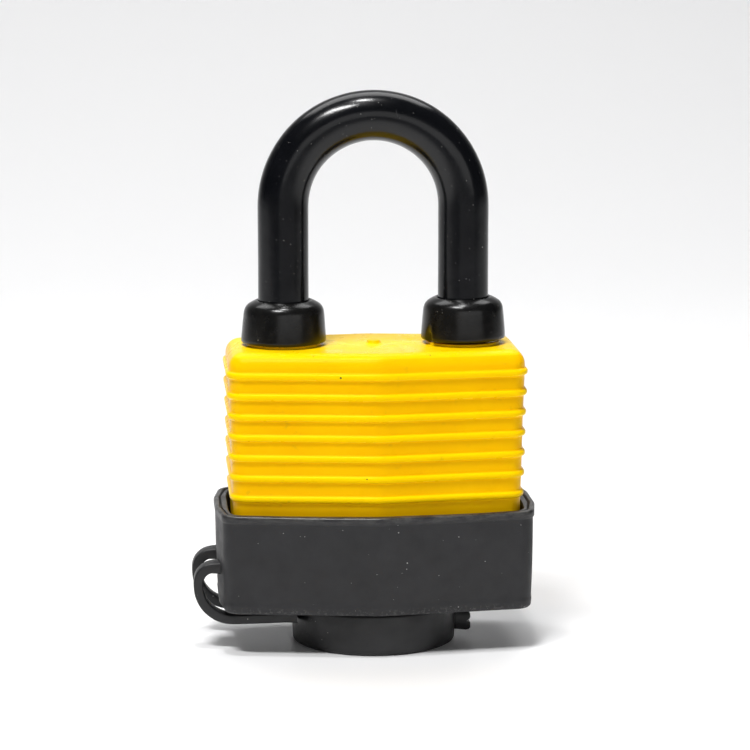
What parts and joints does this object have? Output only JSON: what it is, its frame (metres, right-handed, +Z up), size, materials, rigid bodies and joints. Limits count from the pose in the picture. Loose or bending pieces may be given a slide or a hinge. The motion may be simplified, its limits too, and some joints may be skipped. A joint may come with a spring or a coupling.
{
  "type": "padlock",
  "caption": "Weatherproof laminated padlock with a sleeved shackle, shackle seals, a ribbed cover, a bumper skirt and a hinged keyway cap.",
  "frame": {"origin": "on the lock cylinder's axis, at the underside of the keyway cap on which the lock stands", "axes": "+Z up along the shackle's legs, +X from the heel leg towards the toe leg, -Y towards the viewer; the cap's straps are on the -X side"},
  "size_m": [0.052, 0.0294, 0.0839],
  "materials": {
    "shackle_steel": "ground",
    "sleeve_vinyl": "satin",
    "seal_rubber": "matte",
    "cover_yellow": "gloss",
    "skirt_black": "matte",
    "cap_black": "matte",
    "plate_steel": "rolled",
    "rivet_steel": "satin",
    "cylinder_brass": "machined",
    "pin_brass": "polished",
    "mechanism_steel": "sintered",
    "spring_steel": "bright"
  },
  "bodies": {
    "lock_body": {"top_cover": "cover_yellow", "skirt": "skirt_black", "cap_anchor": "cap_black", "cap_strap_front": "cap_black", "cap_strap_rear": "cap_black", "bottom_plate": "plate_steel", "lamination_01": "plate_steel", "lamination_02": "plate_steel", "lamination_03": "plate_steel", "lamination_04": "plate_steel", "lamination_05": "plate_steel", "lamination_06": "plate_steel", "lamination_07": "plate_steel", "lamination_08": "plate_steel", "lamination_09": "plate_steel", "lamination_10": "plate_steel", "lamination_11": "plate_steel", "lamination_12": "plate_steel", "lamination_13": "plate_steel", "lamination_14": "plate_steel", "lamination_15": "plate_steel", "lamination_16": "plate_steel", "top_plate": "plate_steel", "rivets": "rivet_steel", "heel_retainer": "spring_steel", "cylinder_housing": "cylinder_brass", "driver_pins": "pin_brass", "pin_springs": "spring_steel", "chamber_strip": "pin_brass", "dog_spring": "spring_steel", "shackle_spring": "spring_steel"},
    "cylinder_plug": {"plug": "cylinder_brass", "key_pins": "pin_brass", "drive_cam": "mechanism_steel", "plug_clip": "spring_steel"},
    "locking_dog_toe": {"toe_dog": "mechanism_steel"},
    "locking_dog_heel": {"heel_dog": "mechanism_steel"},
    "shackle_group": {"shackle": "shackle_steel", "shackle_sleeve": "sleeve_vinyl", "heel_seal": "seal_rubber", "toe_seal": "seal_rubber"},
    "cap": {"keyway_cap": "cap_black"}
  },
  "joints": [
    {"name": "shackle_lift", "type": "slide", "parent": "lock_body", "child": "shackle_group", "axis": [0, 0, 1], "range_m": [0, 0.011], "deforming": ["shackle_spring"]},
    {"name": "plug_turn", "type": "hinge", "parent": "lock_body", "child": "cylinder_plug", "pos_m": [0, 0, 0.02], "axis": [0, 0, 1], "range_deg": [0, 90.2]},
    {"name": "toe_dog_slide", "type": "slide", "parent": "lock_body", "child": "locking_dog_toe", "axis": [-1, 0, 0], "range_m": [0, 0.00482], "deforming": ["dog_spring"]},
    {"name": "heel_dog_slide", "type": "slide", "parent": "lock_body", "child": "locking_dog_heel", "axis": [1, 0, 0], "range_m": [0, 0.00482]},
    {"name": "cap_swing", "type": "hinge", "parent": "lock_body", "child": "cap", "pos_m": [-0.0215, 0, 0.007], "axis": [0, 1, 0], "range_deg": [0, 110], "deforming": ["cap_strap_front", "cap_strap_rear"]}
  ],
  "couplings": [
    {"joint": "plug_turn", "follows": "shackle_lift", "rad_per_m": 142.8},
    {"joint": "toe_dog_slide", "follows": "shackle_lift", "ratio": 0.4371},
    {"joint": "heel_dog_slide", "follows": "shackle_lift", "ratio": 0.4371}
  ]
}
